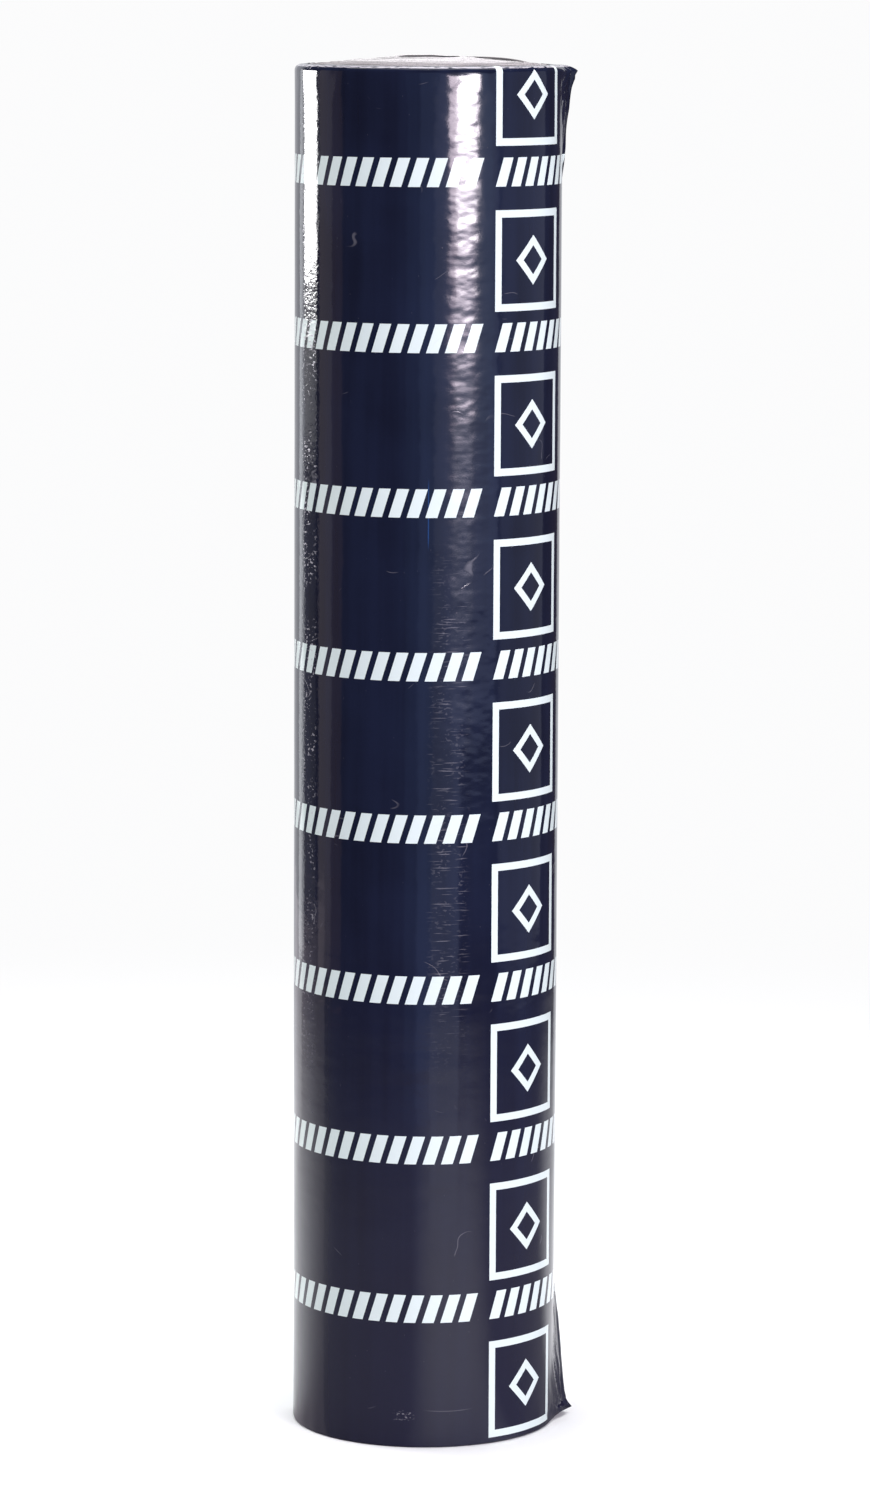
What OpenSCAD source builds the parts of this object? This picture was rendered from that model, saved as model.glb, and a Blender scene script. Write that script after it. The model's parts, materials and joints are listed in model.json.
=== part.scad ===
// A roll of bitumen roofing felt standing on its end in its shrunk-on plastic wrapper.
// Millimetres, +Z up. The origin is on the floor, on the axis of the roll.

/* [Felt] */
// Width of the felt sheet, which is the height of the standing roll
felt_width = 1000; // [500:10:1200]
// Diameter of the wound felt, without its wrapper
roll_d = 193; // [150:1:300]
// Diameter of the open bore that the winding mandrel left
bore_d = 44; // [25:1:80]
// Thickness of the felt sheet, one turn of the roll
felt_t = 1.86; // [1.5:0.02:5]
// How far the innermost turn has slid up past the turns under the wrapper's collar
telescope = 6; // [0:0.5:15]
// Rounding of the outer turns under the wrapper at the top end
top_rim_r = 4; // [1.5:0.5:8]
// Rounding of the outer turns under the wrapper at the bottom end
bottom_rim_r = 1.5; // [1:0.5:8]

/* [Wrapper] */
// Thickness of the plastic film
film_t = 0.15; // [0.1:0.05:0.5]
// Clearance between the film and the felt, at the side and over the top end
film_gap = 0.1; // [0.1:0.05:0.3]
// Width of the collar that the film forms over each end
collar_w = 9; // [9:1:25]

/* [Seam] */
// Direction of the film's welded side seam around the roll, in degrees from +X
seam_angle = 49; // [0:1:359]
// How far the seam stands off the roll at each end, where the film didn't shrink tight
ear_h = 12; // [0:1:20]
// Length of the seam that stands off the roll below the top end
top_ear_len = 105; // [40:5:200]
// Length of the seam that stands off the roll above the bottom end
bottom_ear_len = 115; // [40:5:200]

/* [Hidden] */

roll_r = roll_d / 2;
bore_r = bore_d / 2;
turns = round((roll_r - bore_r) / felt_t);
pitch = (roll_r - bore_r) / turns;
collar_r = roll_r - collar_w; // inside this radius the turns have slid up
felt_base = film_t;           // the felt rests on the bottom collar
felt_top = felt_base + felt_width;

// The V groove between two turns on the ends: half its width, and its depth
groove_w = 0.25;
groove_depth = 0.6;

film_facets = 72;
facet_k = 1 / cos(180 / film_facets); // keeps the flats of the film outside the felt's round side
sleeve_r = roll_r + film_gap;
film_top = felt_top + film_gap;       // underside of the top collar
ear_taper = 1.1;                      // over 1, the ear's edge is a little hollow
ear_rows = [0.15, 0.35, 0.6, 0.8, 1]; // where the ear's shape is sampled along its length
corner_steps = 5;                     // flats around each rim's rounding

// How far the turn at radius r has slid up
function lift(r) = telescope * max(0, (collar_r - r) / (collar_r - bore_r));

// How far a rim rounded to rim_r falls back at radius r
function rim_drop(r, rim_r) =
    let (out = max(0, r - (roll_r - rim_r))) rim_r - sqrt(max(0, rim_r * rim_r - out * out));

function top_z(r, level) = felt_top + lift(level) - rim_drop(r, top_rim_r);
function bottom_z(r, level) = felt_base + lift(level) + rim_drop(r, bottom_rim_r);

function turn_in(i) = bore_r + i * pitch;

// The ends of the turns, from the bore outwards, with a groove after each turn but the last
top_profile = [for (i = [0 : turns - 1])
    let (r0 = turn_in(i), r1 = turn_in(i + 1), last = i == turns - 1)
    each [
        [i == 0 ? r0 : r0 + groove_w, top_z(r0 + groove_w, r0)],
        [r1 - groove_w, top_z(r1 - groove_w, r0)],
        [r1, last ? top_z(r1, r0) : top_z(r1, r0) - groove_depth]
    ]];
bottom_profile = [for (i = [turns - 1 : -1 : 0])
    let (r0 = turn_in(i), r1 = turn_in(i + 1), last = i == turns - 1)
    each [
        [r1, last ? bottom_z(r1, r0) : bottom_z(r1, r0) + groove_depth],
        [r1 - groove_w, bottom_z(r1 - groove_w, r0)],
        [i == 0 ? r0 : r0 + groove_w, bottom_z(r0 + groove_w, r0)]
    ]];

// The wound felt: one turned solid with its bore, its turns cut into both ends
module felt_roll() {
    color([0.36, 0.34, 0.35])
    rotate_extrude($fn = 180)
        polygon(concat(top_profile, bottom_profile));
}

// How far the seam stands off the roll at height z
function ear(z) =
    let (bottom_share = 1 - z / bottom_ear_len, top_share = 1 - (film_top - z) / top_ear_len)
    ear_h * pow(max(0, bottom_share, top_share), ear_taper);

// Radius of the film at an angle from its seam: round, but drawn out to the seam along two tangents
function film_r(angle, z) =
    let (spread = acos(sleeve_r / (sleeve_r + ear(z))))
    sleeve_r / cos(max(0, spread - abs(angle)));

// A quarter round of the film's section, about a centre given from the sleeve's inner face
function corner(centre, r, from, to) =
    [for (i = [0 : corner_steps])
        let (a = from + (to - from) * i / corner_steps)
        [centre[0] + r * cos(a), centre[1] + r * sin(a)]];

top_bend_r = top_rim_r + film_gap;
bottom_bend_r = bottom_rim_r + film_gap;
top_bend = [-top_bend_r, film_top - top_bend_r];
bottom_bend = [-bottom_bend_r, film_t + bottom_bend_r];
row_heights = concat(
    [for (f = ear_rows) bottom_bend[1] + f * (bottom_ear_len - bottom_bend[1])],
    [for (i = [len(ear_rows) - 1 : -1 : 0]) top_bend[1] - ear_rows[i] * (top_ear_len - top_bend_r)]
);

// The film's section as distances out from the sleeve's inner face, and heights
outer_section = concat(
    [[-collar_w, 0]],
    corner(bottom_bend, bottom_bend_r + film_t, -90, 0),
    [for (z = row_heights) [film_t, z]],
    corner(top_bend, top_bend_r + film_t, 0, 90),
    [[-collar_w, film_top + film_t]]
);
inner_section = concat(
    [[-collar_w, film_top]],
    corner(top_bend, top_bend_r, 90, 0),
    [for (i = [len(row_heights) - 1 : -1 : 0]) [0, row_heights[i]]],
    corner(bottom_bend, bottom_bend_r, 0, -90),
    [[-collar_w, film_t]]
);
film_section = concat(outer_section, inner_section);

// A point of the section at an angle from the seam. A collar's inner edge is round, at the ears too.
function film_point(angle, p) =
    let (
        r_outside = p[0] > -collar_w ? film_r(angle, p[1]) : sleeve_r,
        r = facet_k * r_outside + p[0]
    )
    [r * cos(seam_angle + angle), r * sin(seam_angle + angle), p[1]];

// The plastic wrapper: a thin sleeve with a collar over each end and two ears on its seam
module wrapper_film() {
    n = len(film_section);
    step = 360 / film_facets;
    points = [for (i = [0 : film_facets - 1], p = film_section) film_point(i * step - 180, p)];
    faces = [for (i = [0 : film_facets - 1], j = [0 : n - 1])
        let (
            next_i = (i + 1) % film_facets,
            next_j = (j + 1) % n,
            a = i * n + j,
            b = i * n + next_j,
            c = next_i * n + next_j,
            d = next_i * n + j
        )
        each [[a, b, c], [a, c, d]]];
    color([0.1, 0.12, 0.24])
    polyhedron(points = points, faces = faces);
}

felt_roll();
wrapper_film();
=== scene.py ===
import json
import math

import bmesh
import bpy
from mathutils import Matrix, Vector, noise


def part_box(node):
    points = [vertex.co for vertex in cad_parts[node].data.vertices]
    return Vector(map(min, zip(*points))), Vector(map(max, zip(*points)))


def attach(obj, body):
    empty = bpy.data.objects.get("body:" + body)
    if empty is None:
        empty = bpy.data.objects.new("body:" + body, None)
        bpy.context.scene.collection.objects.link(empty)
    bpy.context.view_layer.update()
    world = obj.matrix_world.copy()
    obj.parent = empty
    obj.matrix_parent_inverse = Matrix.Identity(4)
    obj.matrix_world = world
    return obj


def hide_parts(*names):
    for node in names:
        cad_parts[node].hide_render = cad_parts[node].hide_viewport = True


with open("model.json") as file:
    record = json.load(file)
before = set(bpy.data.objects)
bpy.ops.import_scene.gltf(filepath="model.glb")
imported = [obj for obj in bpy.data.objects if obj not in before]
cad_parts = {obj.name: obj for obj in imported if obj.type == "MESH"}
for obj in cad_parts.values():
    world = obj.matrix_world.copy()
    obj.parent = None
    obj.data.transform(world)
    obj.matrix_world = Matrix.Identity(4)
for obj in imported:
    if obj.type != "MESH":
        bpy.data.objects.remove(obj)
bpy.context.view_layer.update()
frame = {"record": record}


# ---- The felt ------------------------------------------------------------------------------
# One long sheet of bitumen felt with a fleece in its middle and mineral dust on its faces.
# It was wound on a mandrel, which was then drawn out, so the roll has an open bore. The cut
# edges of the sheet show as turns on both ends, and the inner turns have slid up a little.

felt_low, felt_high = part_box("felt_roll")
film_low, film_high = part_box("wrapper_film")
bore = next(m for m in frame["record"]["mounts"] if m["name"] == "bore")
bore_radius = bore["dims"]["r_mm"] / 1000
felt_width = bore["dims"]["length_mm"] / 1000
felt_radius = (felt_high.x - felt_low.x) / 2
slide = felt_high.z - felt_low.z - felt_width
collar_width = 0.009
collar_radius = felt_radius - collar_width   # the turns outside this are held by the wrapper's collars
rim_rounds = (0.0015, 0.004)            # how the outer turns are rounded, at the bottom and at the top
wound_turns = 39
turn_pitch = (felt_radius - bore_radius) / (wound_turns + 1)
sheet_thickness = 0.0017
edge_chamfer = 0.0003
edge_wander = 0.0008                    # how unevenly the turns lie on the ends
wander_round = 1.3                      # how fast that changes round a turn, and from turn to turn
wander_per_turn = 0.83
steps_per_turn = 128
risers = ((0.4, 156, 0.0006), (31.32, 118, 0.0038))   # turn, direction in degrees and height
riser_spread = 0.5                      # in turns, so that its neighbours stay down
riser_ends = (0.55, 0.98)               # cosines between which it falls away from its direction


def smooth(low, high, value):
    """0 below low, 1 above high, and an S curve between them."""
    share = min(1.0, max(0.0, (value - low) / (high - low)))
    return share * share * (3 - 2 * share)


def wound_length(turn):
    """Metres of sheet from its inner end to a number of turns."""
    return math.tau * (bore_radius * turn + turn_pitch * turn * turn / 2)


def risen(turn):
    """How far the sheet stands up at the few places where a turn is loose."""
    up = 0.0
    for riser_turn, direction, height in risers:
        near = math.exp(-(((turn - riser_turn) / riser_spread) ** 2))
        up += height * near * smooth(*riser_ends, math.cos(math.tau * turn - math.radians(direction)))
    return up


def sheet_point(turn, across, up, chamfer):
    """A point of the wound sheet: across is 0 on its inner face and 1 on its outer, up is 0 or 1."""
    angle = math.tau * turn
    radius = bore_radius + turn_pitch * turn
    lift = slide * max(0.0, (collar_radius - radius) / (collar_radius - bore_radius))
    round_x, round_y = wander_round * math.cos(angle), wander_round * math.sin(angle)
    wander = noise.noise(Vector((round_x, round_y, wander_per_turn * turn)))
    held = smooth(collar_radius - 0.004, collar_radius + 0.002, radius)
    uneven = edge_wander * (1 - held)
    height = felt_low.z + lift + up * (felt_width + risen(turn)) + uneven * wander
    rim_round = rim_rounds[up]
    past_round = max(0.0, radius + sheet_thickness - (felt_radius - rim_round))
    rounding = rim_round - math.sqrt(max(0.0, rim_round ** 2 - past_round ** 2))
    height += (1 - 2 * up) * (rounding + chamfer)
    radius += across * sheet_thickness
    return Vector((radius * math.cos(angle), radius * math.sin(angle), height))


# Round the sheet's section: up its outer face, in over the top edge, down its inner face, and
# out under the bottom edge. Each corner is (across, up, how far it is cut back).
cut = edge_chamfer / sheet_thickness
sheet_section = [
    (1, 0, edge_chamfer), (1, 1, edge_chamfer), (1 - cut, 1, 0), (0.5, 1, 0), (cut, 1, 0),
    (0, 1, edge_chamfer), (0, 0, edge_chamfer), (cut, 0, 0), (1 - cut, 0, 0), (1, 0, edge_chamfer),
]


def flat_grid(columns, rows):
    """A bmesh grid of quads, whose vertices lie at x 0 to columns and y 0 to rows."""
    grid = bmesh.new()
    bmesh.ops.create_grid(grid, x_segments=columns, y_segments=rows, size=0.5)
    bmesh.ops.translate(grid, verts=grid.verts, vec=(0.5, 0.5, 0))
    bmesh.ops.scale(grid, verts=grid.verts, vec=(columns, rows, 1))
    return grid


def shape_grid(grid, place, texture):
    """Moves each vertex of a flat grid to place(column, row). Its UVs become texture(column, row)."""
    layer = grid.loops.layers.uv.new("UVMap")
    for face in grid.faces:
        for loop in face.loops:
            loop[layer].uv = texture(round(loop.vert.co.x), round(loop.vert.co.y))
    for vertex in grid.verts:
        vertex.co = place(round(vertex.co.x), round(vertex.co.y))


def finished(mesh, name):
    """A smooth-shaded object made from a bmesh, at the origin."""
    data = bpy.data.meshes.new(name)
    mesh.to_mesh(data)
    mesh.free()
    data.polygons.foreach_set("use_smooth", [True] * len(data.polygons))
    made = bpy.data.objects.new(name, data)
    bpy.context.scene.collection.objects.link(made)
    return made


def felt_place(column, row):
    across, up, chamfer = sheet_section[row]
    return sheet_point(column / steps_per_turn, across, up, chamfer)


def felt_texture(column, row):
    return wound_length(column / steps_per_turn), sheet_section[row][0]


felt_mesh = flat_grid(wound_turns * steps_per_turn, len(sheet_section) - 1)
shape_grid(felt_mesh, felt_place, felt_texture)
bmesh.ops.remove_doubles(felt_mesh, verts=felt_mesh.verts, dist=1e-6)
bmesh.ops.holes_fill(felt_mesh, edges=[e for e in felt_mesh.edges if e.is_boundary], sides=0)
bmesh.ops.recalc_face_normals(felt_mesh, faces=felt_mesh.faces)
felt = finished(felt_mesh, "felt_sheet")
felt.data.set_sharp_from_angle(angle=math.radians(50))


class Wire:
    """A socket of a shader. Arithmetic on it adds Math nodes, and node() adds any other node."""

    def __init__(self, tree, socket):
        self.tree = tree
        self.socket = socket

    def node(self, kind, settings, inputs, output=0):
        """Adds a node, makes its settings, then sets or links its inputs, and returns one output."""
        made = self.tree.nodes.new("ShaderNode" + kind)
        for name, value in settings.items():
            setattr(made, name, value)
        for name, value in inputs.items():
            if isinstance(value, Wire):
                self.tree.links.new(value.socket, made.inputs[name])
            else:
                made.inputs[name].default_value = value
        return Wire(self.tree, made.outputs[output])

    def math(self, operation, *values):
        return self.node("Math", {"operation": operation}, dict(enumerate((self, *values))))

    def swapped(self, operation, value):
        return self.node("Math", {"operation": operation}, {0: value, 1: self})

    def __add__(self, value):
        return self.math("ADD", value)

    def __radd__(self, value):
        return self.math("ADD", value)

    def __sub__(self, value):
        return self.math("SUBTRACT", value)

    def __rsub__(self, value):
        return self.swapped("SUBTRACT", value)

    def __mul__(self, value):
        return self.math("MULTIPLY", value)

    def __rmul__(self, value):
        return self.math("MULTIPLY", value)

    def __mod__(self, value):
        return self.math("FLOORED_MODULO", value)

    def __abs__(self):
        return self.math("ABSOLUTE")

    def above(self, value):
        return self.math("GREATER_THAN", value)

    def below(self, value):
        return self.math("LESS_THAN", value)

    def ramp(self, low, high, start=0.0, end=1.0):
        """start where the wire is low, end where it is high, and an S curve between them."""
        inputs = {"Value": self, "From Min": low, "From Max": high, "To Min": start, "To Max": end}
        return self.node("MapRange", {"interpolation_type": "SMOOTHSTEP"}, inputs)

    def stretched(self, *factors):
        """The vector with each of its axes multiplied."""
        return self.node("VectorMath", {"operation": "MULTIPLY"}, {0: self, 1: factors})

    def grain(self, scale, detail=2.0, roughness=0.5):
        """Noise over a vector, about 0 to 1."""
        inputs = {"Vector": self, "Scale": scale, "Detail": detail, "Roughness": roughness}
        return self.node("TexNoise", {}, inputs)

    def colours(self, first, second):
        """first where the wire is 0, and second where it is 1."""
        inputs = {0: self, 6: as_colour(first), 7: as_colour(second)}
        return self.node("Mix", {"data_type": "RGBA"}, inputs, output=2)

    def split(self):
        """The wires of a vector's X, Y and Z."""
        x = self.node("SeparateXYZ", {}, {0: self})
        return [Wire(self.tree, x.socket.node.outputs[axis]) for axis in range(3)]


def as_colour(value):
    return value if isinstance(value, Wire) else (*value, 1)


def start_finish(name):
    """A new material: it, its Principled shader, and wires of its object and UV coordinates."""
    material = bpy.data.materials.new(name)
    material.use_nodes = True
    tree = material.node_tree
    shader = tree.nodes["Principled BSDF"]
    place = tree.nodes.new("ShaderNodeTexCoord")
    return material, shader, Wire(tree, place.outputs["Object"]), Wire(tree, place.outputs["UV"])


def feed(shader, **inputs):
    """Sets or links a shader's sockets. Base_Color means the socket Base Color."""
    for name, value in inputs.items():
        socket = shader.inputs[name.replace("_", " ")]
        if isinstance(value, Wire):
            value.tree.links.new(value.socket, socket)
        else:
            socket.default_value = value


def bumped(height, distance, strength=1.0, below=None):
    """The normal of a surface with this height over it, in metres, on top of another bump."""
    inputs = {"Height": height, "Distance": distance, "Strength": strength}
    if below:
        inputs["Normal"] = below
    return height.node("Bump", {}, inputs)


bitumen_black = (0.055, 0.051, 0.056)
mineral_grey = (0.42, 0.385, 0.40)
pale_inner_edge = (0.78, 0.75, 0.76)
fleece_grey = (0.36, 0.33, 0.345)
dust_grey = (0.15, 0.142, 0.146)

felt_finish, felt_shader, felt_at, felt_uv = start_finish("bitumen_felt")
along, across = felt_uv.split()[:2]
on_edge = across.above(0.01) * across.below(0.99)
grit = felt_at.grain(2600, 2, 0.7)
crumbs = felt_at.grain(900, 2, 0.6)
patches = felt_at.grain(45, 3)
tone_inputs = {"W": along * 9, "Scale": 1.0, "Detail": 2.0}
turn_tone = along.node("TexNoise", {"noise_dimensions": "1D"}, tone_inputs)
in_core = (1 - abs(across - 0.5).ramp(0.10, 0.40)) * crumbs.ramp(0.35, 0.6)
in_fleece = 1 - abs(across - 0.5).ramp(0.05, 0.12)
edge_dust = turn_tone.ramp(0.3, 0.7, 0.55, 1.0) * crumbs.ramp(0.25, 0.55, 0.5, 1.0)
to_axis = felt_at.node("VectorMath", {"operation": "LENGTH"}, {0: felt_at.stretched(1, 1, 0)}, output=1)
# The cut edges are paler within about 50 mm of the axis, turning grey by 75 mm.
edge_paler_inside = to_axis.ramp(0.050, 0.075).colours(pale_inner_edge, mineral_grey)
edge_colour = (in_core * 0.35).colours(edge_paler_inside, bitumen_black)
edge_colour = (in_fleece * 0.4).colours(edge_colour, fleece_grey)
edge_colour = edge_dust.colours(bitumen_black, edge_colour)
face_colour = (grit.ramp(0.35, 0.7) * patches.ramp(0.3, 0.7, 0.5, 1.0)).colours(bitumen_black, dust_grey)

# Near the cut edges the faces take the edge's colour, but the bore's wall and the inside of the loose
# turn stay dark to their edges
fray_depth = 0.0008
fray_past = 0.001
loose_stretch = (31.12, 31.48)          # in turns
from_middle = abs(felt_at.split()[2] - (felt_low.z + felt_width / 2))
frayed = from_middle.ramp(felt_width / 2 - fray_depth, felt_width / 2 + fray_past, 0.0, 0.85)
kept_dark = along.above(wound_length(loose_stretch[0])) * along.below(wound_length(loose_stretch[1]))
kept_dark += along.below(wound_length(1))
frayed *= 1 - kept_dark * across.below(0.01)
face_colour = frayed.colours(face_colour, edge_colour)
felt_height = grit * 0.4 + crumbs * 0.6
feed(
    felt_shader,
    Base_Color=on_edge.colours(face_colour, edge_colour),
    Roughness=crumbs.ramp(0.3, 0.7, 0.95, 0.75),
    Normal=bumped(felt_height, 0.0005, 0.8),
)
felt.data.materials.append(felt_finish)
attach(felt, "root")
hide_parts("felt_roll")


# ---- The wrapper ---------------------------------------------------------------------------
# A printed sleeve of thin glossy plastic film, welded down one side and shrunk onto the roll
# with hot air. It is turned over both ends in a gathered collar. The weld is stiffer than the
# film, so it stands off the roll at both ends in a creased ear.

film_radius = (film_high.x - film_low.x) / 2
film_thickness = 0.00015
weld_angle = math.radians(49)
bottom_bend = 0.0018
top_bend = 0.0043
ear_zone = 0.13                         # the length at each end where the rows lie close together
collar_rows = 4
bend_rows = 6
ear_row_count = 42
middle_rows = 82
film_columns = 240


def quarter_bend(radius, start, end, centre_height):
    """(distance in from the side, height) round a bend, between two angles in degrees."""
    angles = [math.radians(start + (end - start) * i / bend_rows) for i in range(bend_rows + 1)]
    return [(radius * (1 - math.cos(a)), centre_height + radius * math.sin(a)) for a in angles]


def evenly(first, last, count):
    """count numbers from first towards last, which is left out."""
    return [first + (last - first) * i / count for i in range(count)]


# The film's section, from the inner edge of its bottom collar to that of its top collar, as
# (distance in from the side, height)
side_low = film_low.z + bottom_bend
side_high = film_high.z - top_bend
film_section = [(inset, film_low.z) for inset in evenly(collar_width, bottom_bend, collar_rows)]
film_section += quarter_bend(bottom_bend, -90, 0, side_low)[:-1]
film_section += [(0, z) for z in evenly(side_low, ear_zone, ear_row_count)]
film_section += [(0, z) for z in evenly(ear_zone, film_high.z - ear_zone, middle_rows)]
film_section += [(0, z) for z in evenly(film_high.z - ear_zone, side_high, ear_row_count)]
film_section += quarter_bend(top_bend, 0, 90, side_high)[:-1]
film_section += [(inset, film_high.z) for inset in evenly(top_bend, collar_width, collar_rows)]
film_section += [(collar_width, film_high.z)]

# How far along the film each row lies. On the side of the roll this is its height.
film_reach = [0.0]
for (inset_a, z_a), (inset_b, z_b) in zip(film_section, film_section[1:]):
    film_reach.append(film_reach[-1] + math.hypot(inset_b - inset_a, z_b - z_a))
side_row = collar_rows + bend_rows
film_reach = [reach - film_reach[side_row] + side_low for reach in film_reach]

# Each ear: how far it stands off, its length, and its nub's size, distance from the end and reach
top_ear = (0.0067, 0.082, 0.0024, 0.005, 0.005)
bottom_ear = (0.0086, 0.105, 0.0038, 0.0052, 0.0034)
weld_fin = 0.0014
weld_ridge = 0.0004
weld_width = 0.0011
fin_from = 0.004                        # the fin is whole where the weld stands off this far

# How deep the film's folds are: in the ears, in the gathers near the ends, and in its slow dents
crease_depth = 0.0016
gather_depth = 0.0003
dent_depth = 0.00012
pleat_rise = 0.0007


def ear_reach(distance, ear):
    """How far the weld stands off the roll at a distance from the end."""
    height, length, nub, nub_at, nub_reach = ear
    base = height * max(0.0, 1 - distance / length) ** 1.1
    return base + nub * math.exp(-((distance - nub_at) / nub_reach) ** 2)


def stand_off(height):
    above_floor = height - film_low.z
    below_top = film_high.z - height
    bottom = ear_reach(above_floor, bottom_ear) * smooth(-0.004, 0.0055, above_floor)
    return max(ear_reach(below_top, top_ear) * smooth(-0.003, 0.0045, below_top), bottom)


def sharp_folds(vector):
    """Ridges that meet in sharp creases, about -0.6 to 0.4."""
    return 0.4 - 2 * abs(noise.noise(vector))


def creases(arc, height):
    """How far the folds that fan out from an ear's tip stand up, at a distance round from the weld."""
    from_end = min(film_high.z - height, height - film_low.z)
    spread = math.hypot(arc, from_end)
    fan = math.atan2(arc, from_end)
    strength = smooth(0.004, 0.022, spread) * (1 - smooth(0.04, 0.12, spread))
    where = Vector((4.2 * fan, 14 * spread, 3 if height > 0.5 else 8))
    crumple = (1 - smooth(0.006, 0.022, spread)) * sharp_folds(Vector((240 * arc, 200 * height, 4)))
    return strength * (sharp_folds(where) + 0.4 * sharp_folds(2.3 * where)) + 1.5 * crumple


def film_point(angle, inset, height):
    """A point of the film at an angle round from the weld, from -180 to 180 degrees."""
    off = stand_off(height)
    spread = math.acos(film_radius / (film_radius + off))
    free = max(0.0, spread - abs(angle))
    tent = film_radius / math.cos(free)
    arc = film_radius * angle
    round_x, round_y = math.cos(angle), math.sin(angle)
    gather = noise.noise(Vector((13 * round_x, 13 * round_y, 40 * height)))
    pleat = noise.noise(Vector((17 * round_x, 17 * round_y, 5 + height)))
    from_end = min(film_high.z - height, height - film_low.z)
    slack = smooth(0.0, 0.15, free)
    radius = tent + crease_depth * slack * creases(arc, height)
    radius += gather_depth * gather * (1 - smooth(0.004, 0.03, from_end))
    radius += dent_depth * noise.noise(Vector((3 * round_x, 3 * round_y, 14 * height)))
    fin = weld_ridge + weld_fin * min(1.0, off / fin_from)
    radius += fin * math.exp(-((arc / weld_width) ** 2))
    turned = inset / collar_width
    radius += (film_radius - radius) * smooth(0.2, 1.0, turned)
    radius -= inset * (1 + 0.25 * pleat * turned)
    raised = pleat_rise * (pleat + 0.4) * smooth(0.45, 1.0, turned) if height > 0.5 else 0.0
    direction = weld_angle + angle
    return Vector((radius * math.cos(direction), radius * math.sin(direction), height + raised))


crowding = 0.3                          # how much closer the columns lie at the weld


def column_angle(column):
    """The columns lie closer together near the weld, at both edges of the flat film."""
    share = 2 * column / film_columns - 1
    return math.pi * ((1 + crowding) * share - crowding * share ** 3)


def film_place(column, row):
    inset, height = film_section[row]
    angle = column_angle(column)
    from_weld = angle + math.pi if angle < 0 else angle - math.pi
    return film_point(from_weld, inset, height)


def film_texture(column, row):
    return film_radius * (column_angle(column) + math.pi), film_reach[row]


film_mesh = flat_grid(film_columns, len(film_section) - 1)
shape_grid(film_mesh, film_place, film_texture)
bmesh.ops.remove_doubles(film_mesh, verts=film_mesh.verts, dist=1e-6)
film = finished(film_mesh, "film_sleeve")
wall = film.modifiers.new("wall", "SOLIDIFY")
wall.thickness = film_thickness
wall.offset = -1

# The print: rows of slanted bars round the roll, and a column of framed lozenges between them.
# All distances are on the flat film, in metres.
row_pitch = 0.1175
first_row = 0.0932
bar_height = 0.0205
bar_pitch = 0.0134
bar_width = 0.0086
bar_slant = 0.32
print_repeat = 0.2925
row_gap = 0.0134
frame_start = 0.4996
frame_side = 0.072
frame_line = 0.0053
frame_above_row = 0.0288
lozenge_reach = 0.0178
lozenge_hole = 0.0105

navy_ink = (0.0060, 0.0082, 0.0215)
navy_ink_thin = (0.0098, 0.0140, 0.0360)
navy_lower_violet = (0.0115, 0.0100, 0.0290)
white_ink = (0.745, 0.835, 0.81)
crease_blue = (0.012, 0.045, 0.15)
# Pale colour of worn film, also used for painted glints and a painted highlight on the top bend.
pale_wear_and_highlight = (0.58, 0.55, 0.60)

film_finish, film_shader, film_at, film_uv = start_finish("printed_film")
round_film, up_film = film_uv.split()[:2]
in_repeat = (round_film - frame_start + 2 * print_repeat) % print_repeat
in_row = (up_film - first_row + row_pitch) % row_pitch
slanted = in_repeat - in_row * bar_slant
bars = (slanted % bar_pitch).below(bar_width)
bars *= slanted.above(0) * slanted.below(print_repeat - row_gap) * in_row.below(bar_height)
from_centre_x = abs(in_repeat - frame_side / 2)
from_centre_y = abs(in_row - frame_above_row - frame_side / 2)
to_corner = from_centre_x.math("MAXIMUM", from_centre_y)
outline = to_corner.below(frame_side / 2) * to_corner.above(frame_side / 2 - frame_line)
to_point = from_centre_x + from_centre_y
lozenge = to_point.below(lozenge_reach) * to_point.above(lozenge_hole)
printed = (bars + outline + lozenge).math("MINIMUM", 1.0)

streaks = film_uv.stretched(60, 2.2, 1).grain(1.0, 3)
mottle = film_at.grain(14, 3)
navy = (streaks * 0.6 + mottle * 0.4).ramp(0.35, 0.65).colours(navy_ink, navy_ink_thin)
# The film's colour turns more violet towards the bottom, from half its height down.
navy = up_film.ramp(0.0, 0.5, 0.7, 0.0).colours(navy, navy_lower_violet)
waves = film_uv.stretched(16, 40, 1).grain(1.0, 1)
ripples = film_uv.stretched(78, 110, 1).grain(1.0, 1, 0.45)
peel = film_at.grain(380, 2, 0.55)
pressed = film_uv.stretched(250, 300, 1).grain(1.0, 2, 0.6)
weld_half = film_radius * math.pi
near_weld = abs(round_film - weld_half).ramp(weld_half - 0.035, weld_half - 0.012)
near_ear = near_weld * abs(up_film - film_high.z / 2).ramp(film_high.z / 2 - 0.11, film_high.z / 2 - 0.02)
pleats = film_uv.stretched(420, 36, 1).grain(1.0, 1)


def band(wire, low, high, soft):
    """1 between low and high, fading to 0 over a distance outside them."""
    return wire.ramp(low - soft, low) * wire.ramp(high, high + soft, 1.0, 0.0)


# The film rippled most on one side as it shrank. On another, the grains of the felt press through
# it, and pale flecks there are painted glints, thicker towards the top; it was rubbed and scratched
# in handling. The places are distances round the flat film and up it, in metres.
rippled = band(round_film, 0.47, 0.50, 0.035) * up_film.ramp(0.3, 0.6)
pimpled = band(round_film, 0.333, 0.355, 0.012) * up_film.ramp(0.25, 0.5)
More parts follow.
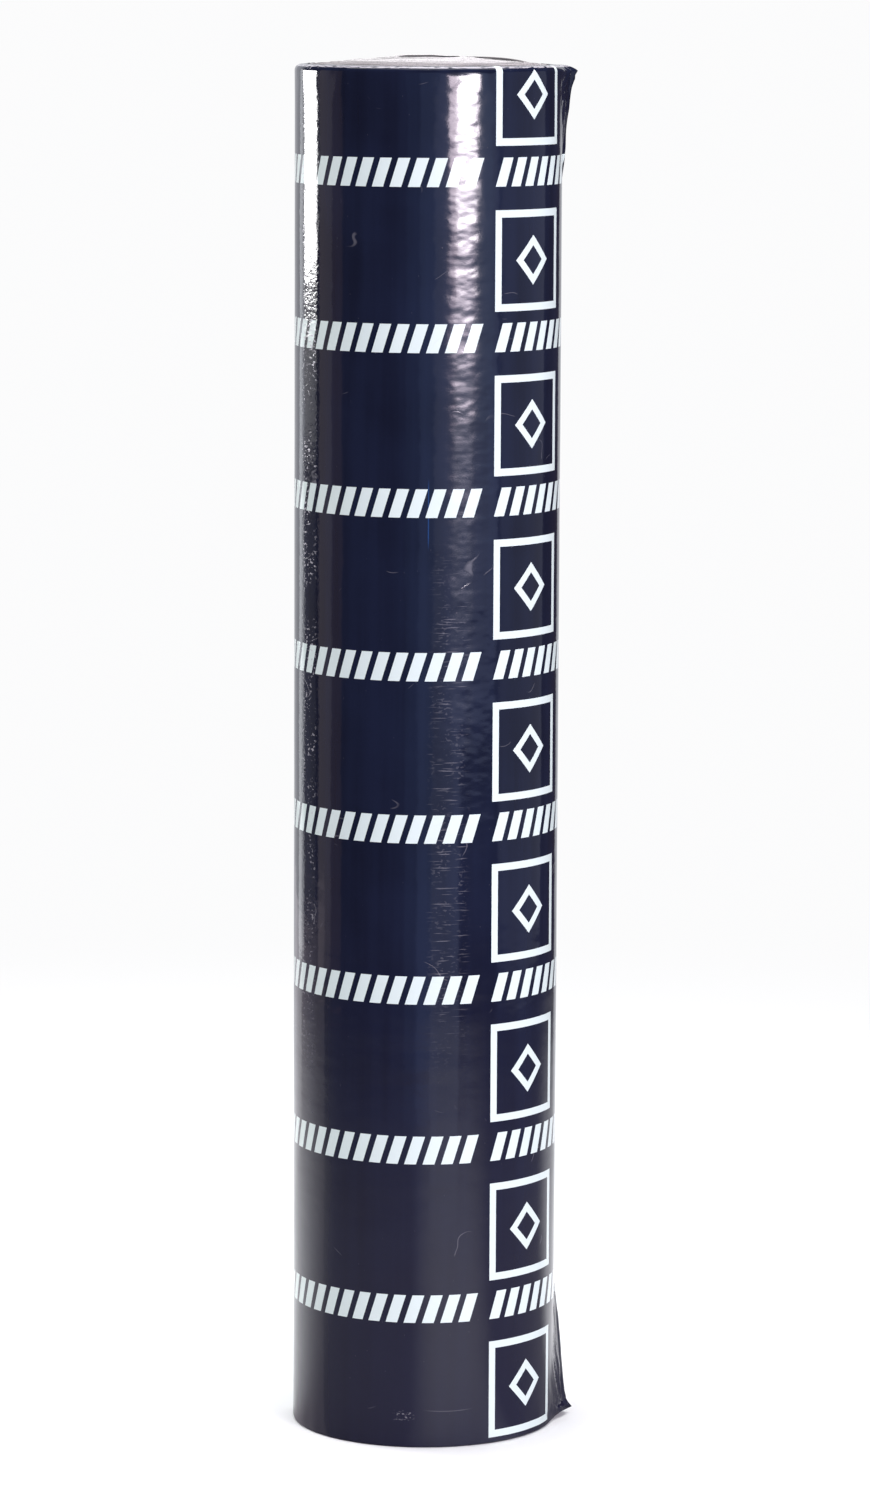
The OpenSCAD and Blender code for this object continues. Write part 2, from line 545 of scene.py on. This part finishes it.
# Pale flecks in this band, thicker towards the top, are painted glints.
glint_band = band(round_film, 0.336, 0.352, 0.006) * up_film.ramp(0.42, 0.78, 0.35, 1.0)
glint_band *= up_film.ramp(0.2, 0.45)
rubbed = band(round_film, 0.459, 0.474, 0.010) * band(up_film, 0.36, 0.58, 0.10)
rub_flecks_and_glints = film_uv.stretched(300, 470, 1).grain(1.0, 1).ramp(0.58, 0.65)
rub_flecks_and_glints *= film_uv.stretched(90, 30, 1).grain(1.0, 1).ramp(0.42, 0.62)
hairs = film_uv.stretched(55, 800, 1).grain(1.0, 1).ramp(0.62, 0.74)
scratched = film_uv.stretched(24, 34, 1).grain(1.0, 1)
scratch_places = film_uv.grain(30, 1)
scratches = 1 - abs(scratched - 0.5).ramp(0.002, 0.008)
scratches *= (scratch_places + pimpled * 0.12).ramp(0.66, 0.71)
scuff = film_uv.stretched(340, 700, 1).grain(1.0, 2).ramp(0.54, 0.66)
scuff *= band(round_film, 0.431, 0.439, 0.005) * band(up_film, 0.0225, 0.0255, 0.003)
from_arc = abs(round_film - 0.468)
low_scratch = from_arc.ramp(0.008, 0.020, 1.0, 0.0)
low_scratch *= band(up_film - from_arc * from_arc * 3, 0.0270, 0.0272, 0.0004)
crease = band(round_film, 0.4504, 0.4508, 0.0004) * band(up_film, 0.668, 0.698, 0.012)
# A broken pale line painted along the top bend, as a painted highlight.
rim_highlight = band(up_film, 0.9998, 1.0014, 0.0006) * film_uv.stretched(160, 900, 1).grain(1.0, 1).ramp(0.35, 0.5)
cell_inputs = {"Vector": film_uv.stretched(1, 0.6, 1), "Scale": 420.0}
cell = film_uv.node("TexVoronoi", {"feature": "F1"}, cell_inputs)
cell_tint = Wire(cell.tree, cell.socket.node.outputs["Color"]).split()[0]
pimples = cell.ramp(0.04, 0.18, 1.0, 0.0) * cell_tint.above(0.97)

film_height = waves * 0.30 + ripples * (rippled * 0.22 + 0.08) + peel * 0.02
film_height += pressed * (pimpled * 0.11 + 0.004) + pleats * near_ear * 0.35
film_height += scratches * 0.03 + pimples * 0.03 + rub_flecks_and_glints * glint_band * 0.02
# Pale marks in one colour: the scratches, scuffs and rubbing are wear, the flecks in one band are painted
# glints, and the line on the top bend is a painted highlight.
wear_and_highlights = scratches * 0.14 + pimples * 0.05
wear_and_highlights += rub_flecks_and_glints * (glint_band * 1.2 + rubbed * 0.08) + hairs * rubbed * 0.20
wear_and_highlights = (wear_and_highlights + scuff * 0.35 + low_scratch * 0.10 + rim_highlight * 0.75).math("MINIMUM", 1.0)
inked = printed.colours(crease.colours(navy, crease_blue), white_ink)
feed(
    film_shader,
    Base_Color=wear_and_highlights.colours(inked, pale_wear_and_highlight),
    Roughness=mottle * 0.04 + rippled * 0.05 + 0.06,
    IOR=1.45,
    Normal=bumped(film_height, 0.001),
)
film.data.materials.append(film_finish)
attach(film, "root")
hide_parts("wrapper_film")


# ---- Floor, light and camera ---------------------------------------------------------------
# A plain pale studio floor under soft boxes, with the roll standing upright on its end. None
# of it is part of the roll.

camera_azimuth = math.radians(45)
camera_distance = 4.145
camera_height = 1.07
camera_roll = math.radians(0.26)
aimed_right = 0.0066                    # where it looks, from the roll's axis and from the floor
aimed_up = 0.5038
towards_camera = Vector((math.sin(camera_azimuth), -math.cos(camera_azimuth), 0))
camera_right = Vector((math.cos(camera_azimuth), math.sin(camera_azimuth), 0))


def facing(bearing):
    """The level direction at a bearing in degrees round from the camera, to its right."""
    turned = math.radians(bearing)
    return math.cos(turned) * towards_camera + math.sin(turned) * camera_right


# The floor fades out into the pale room. In reflections it is dimmer away from the bright strips,
# and it throws only part of its light back up the roll.
studio_white = (0.97, 0.97, 0.975)
room_light = (0.31, 0.32, 0.34)
room_mirrored = (0.060, 0.046, 0.060)
floor_radius = 2.4
bounce_lost = 0.65
floor_mesh = bmesh.new()
bmesh.ops.create_circle(floor_mesh, cap_ends=True, segments=96, radius=floor_radius)
floor = finished(floor_mesh, "studio_floor")
floor_finish, floor_shader, floor_at = start_finish("pale_floor")[:3]
from_roll = floor_at.node("VectorMath", {"operation": "LENGTH"}, {0: floor_at}, output=1)
outwards = floor_at.node("VectorMath", {"operation": "NORMALIZE"}, {0: floor_at})



def towards(bearing):
    """1 on the floor in the direction of a bearing, 0 square to it and -1 behind."""
    inputs = {0: outwards, 1: facing(bearing)}
    return outwards.node("VectorMath", {"operation": "DOT_PRODUCT"}, inputs, output=1)


to_front = towards(24)
to_back = towards(-160)
to_right = towards(148)
floor_rays = floor_at.tree.nodes.new("ShaderNodeLightPath")
in_mirror = Wire(floor_at.tree, floor_rays.outputs["Is Glossy Ray"])
in_bounce = Wire(floor_at.tree, floor_rays.outputs["Is Diffuse Ray"])
floor_dim = to_back.ramp(0.1, 0.8, 0.72, 0.02) - to_front.ramp(0.82, 0.985, 0.0, 0.62)
floor_dim = (floor_dim - to_right.ramp(0.80, 0.97, 0.0, 0.55)).math("MAXIMUM", 0.0)
feed(
    floor_shader,
    Base_Color=floor_at.grain(3, 2).ramp(0.3, 0.7).colours((0.91, 0.91, 0.915), (0.93, 0.93, 0.935)),
    Roughness=1.0,
    IOR=1.01,
    Alpha=from_roll.ramp(0.4, 2.2, 1.0, 0.0) * (1 - in_mirror * floor_dim - in_bounce * bounce_lost),
)
floor.data.materials.append(floor_finish)


def aim(thing, target):
    thing.rotation_euler = (target - thing.location).to_track_quat("-Z", "Y").to_euler()


def softbox(bearing, distance, low, high, width, brightness, colour=(1, 1, 1)):
    """An upright soft box. bearing is in degrees round from the camera, to its right."""
    data = bpy.data.lights.new("softbox", "AREA")
    data.shape = "RECTANGLE"
    data.size = width
    data.size_y = high - low
    data.energy = brightness * math.pi * width * (high - low)
    data.color = colour
    box = bpy.data.objects.new("softbox", data)
    box.visible_camera = False
    bpy.context.scene.collection.objects.link(box)
    box.location = distance * facing(bearing)
    box.location.z = (low + high) / 2
    aim(box, Vector((0, 0, (low + high) / 2)))
    return box


# A bright strip on each side, fading towards the floor
softbox(-120.5, 2.0, 0.74, 1.15, 0.76, 20)
softbox(-120.5, 2.0, 0.55, 0.74, 0.72, 0.8)
softbox(-120.5, 2.0, 0.05, 0.55, 0.72, 0.14)
for width, brightness in ((0.9, 0.45), (1.5, 0.4), (2.4, 0.35)):
    softbox(-128, 2.0, -0.9, 0.05, width, brightness, (1, 0.88, 0.96))
softbox(30, 3.02, 0.80, 1.10, 1.36, 20, (1, 0.84, 0.95))
softbox(32.5, 3.0, 0.82, 1.10, 0.90, 40, (1, 0.97, 0.98))
softbox(30, 3.02, 0.63, 0.80, 1.20, 6, (1, 0.78, 0.96))
softbox(30, 3.0, 0.65, 0.82, 0.72, 10, (1, 0.86, 0.98))
softbox(30, 3.0, 0.40, 0.63, 0.90, 1.6, (0.84, 0.82, 1))
softbox(30, 3.0, 0.20, 0.40, 0.90, 0.4, (0.75, 0.80, 1))

# Dim panels: cool ones to the front and right, a warm pair to the left, and a backdrop behind
softbox(33.5, 3.05, 0.1, 1.3, 3.3, 0.95, (0.56, 0.66, 1))
softbox(17, 3.05, -0.5, 0.1, 1.3, 0.85, (0.56, 0.66, 1))
softbox(40, 3.04, 0.5, 1.3, 1.8, 0.45, (0.35, 0.6, 1))
softbox(92, 3.0, -0.2, 1.6, 3.0, 0.35, (0.8, 0.85, 1))
softbox(-11.5, 3.30, -0.4, 1.4, 2.0, 0.06, (0.3, 0.5, 1))
softbox(-6.5, 3.32, -0.4, 1.4, 1.35, 0.2, (0.3, 0.5, 1))
softbox(-1, 3.34, -0.4, 1.4, 0.75, 0.35, (0.4, 0.55, 1))
softbox(-98, 3.0, -0.2, 1.6, 0.85, 0.50, (1, 0.86, 0.88))
softbox(-84, 3.0, -0.2, 1.6, 0.65, 0.22, (1, 0.68, 0.62))
softbox(-138.5, 2.6, -0.1, 1.4, 0.60, 1.2, (0.93, 0.96, 1))
softbox(-171, 3.0, -0.5, 2.4, 4.05, 0.7, (0.93, 0.96, 1))
for size, brightness in ((3.5, 2.0), (0.8, 26)):
    overhead = softbox(0, 0.01, 3.5 - size / 2, 3.5 + size / 2, size, brightness)
    overhead.rotation_euler = (0, 0, 0)

world = bpy.data.worlds.new("studio")
world.use_nodes = True
bpy.context.scene.world = world
sky = world.node_tree.nodes["Background"]
rays = world.node_tree.nodes.new("ShaderNodeLightPath")
seen = Wire(world.node_tree, rays.outputs["Is Camera Ray"])
mirrored = Wire(world.node_tree, rays.outputs["Is Glossy Ray"])
room = mirrored.colours(room_light, room_mirrored)
feed(sky, Color=seen.colours(room, studio_white))

lens = bpy.data.cameras.new("camera")
lens.sensor_width = 36
lens.lens = 137.6
lens.clip_end = 100
camera = bpy.data.objects.new("camera", lens)
bpy.context.scene.collection.objects.link(camera)
camera.location = camera_distance * towards_camera + Vector((0, 0, camera_height))
aim(camera, aimed_right * camera_right + Vector((0, 0, aimed_up)))
camera.rotation_euler.rotate_axis("Z", camera_roll)
bpy.context.scene.camera = camera
bpy.context.scene.view_settings.view_transform = "Standard"
